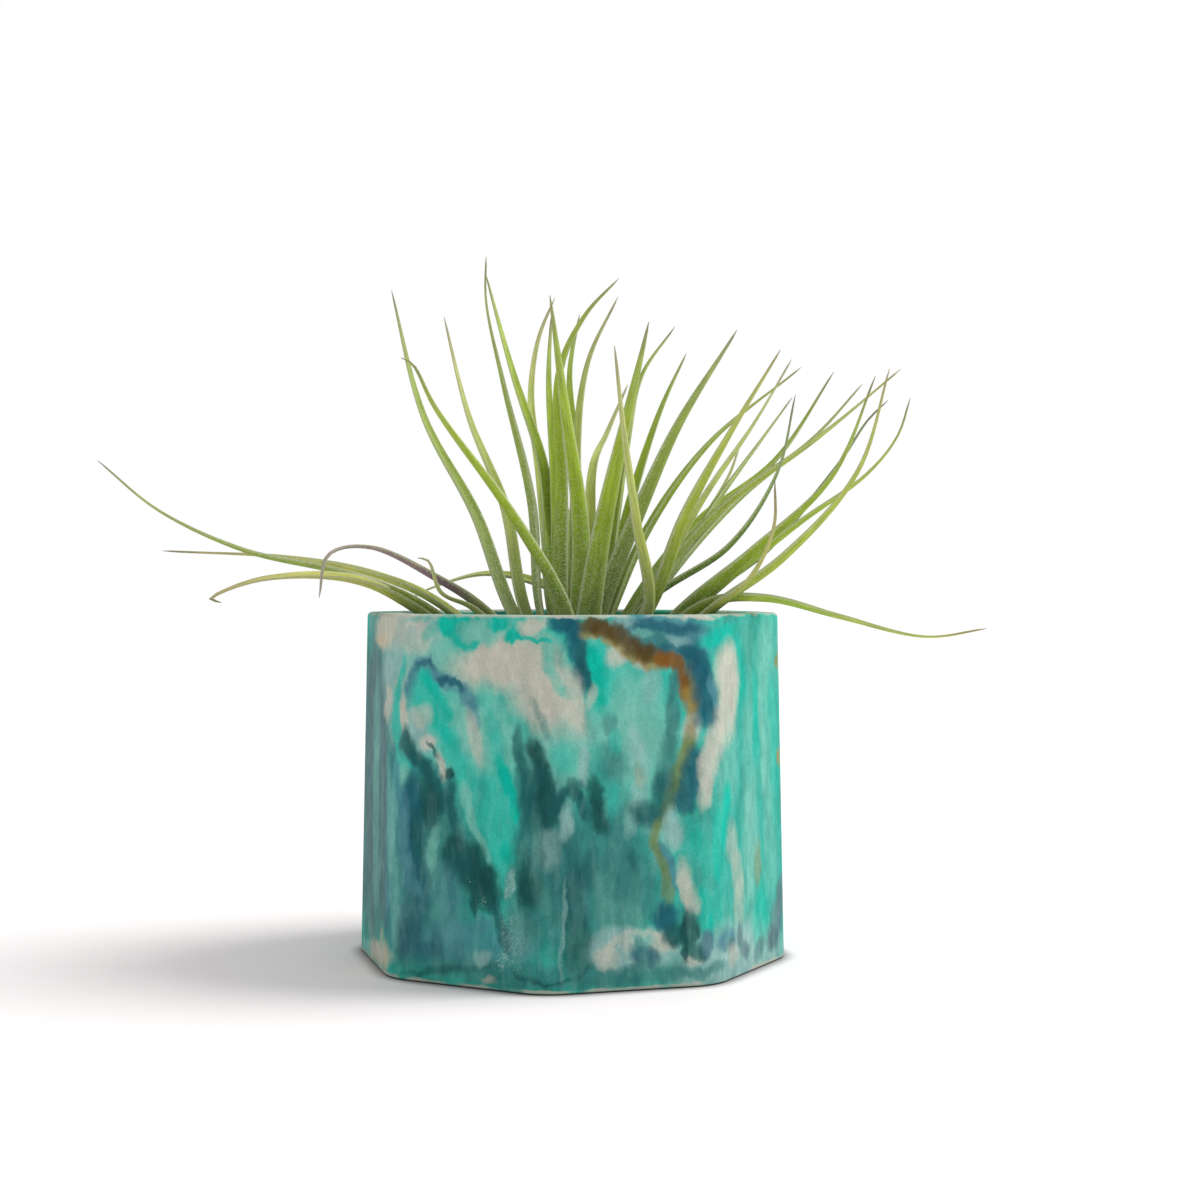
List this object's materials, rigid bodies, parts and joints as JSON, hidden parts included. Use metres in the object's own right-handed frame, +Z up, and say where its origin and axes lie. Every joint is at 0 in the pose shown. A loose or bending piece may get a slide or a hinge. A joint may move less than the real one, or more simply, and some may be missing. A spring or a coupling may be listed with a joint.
{
  "type": "potted air plant",
  "caption": "Air plant with narrow channelled grey-green leaves in an eight-sided pot of marbled cast plaster, bedded in pebbles.",
  "frame": {"origin": "middle of the pot's underside", "axes": "+Z up, -Y towards the side that shows in the picture, +X to its right"},
  "size_m": [0.1718, 0.1093, 0.1405],
  "materials": {
    "marbled_plaster": "matte, marbled turquoise, teal, off-white and ochre",
    "pebbles": "matte natural stone",
    "leaf": "velvety, dusted with fine silvery scales"
  },
  "bodies": {
    "root": {"pot": "marbled_plaster", "pebble_bed": "pebbles", "rosette": "leaf"}
  },
  "joints": []
}
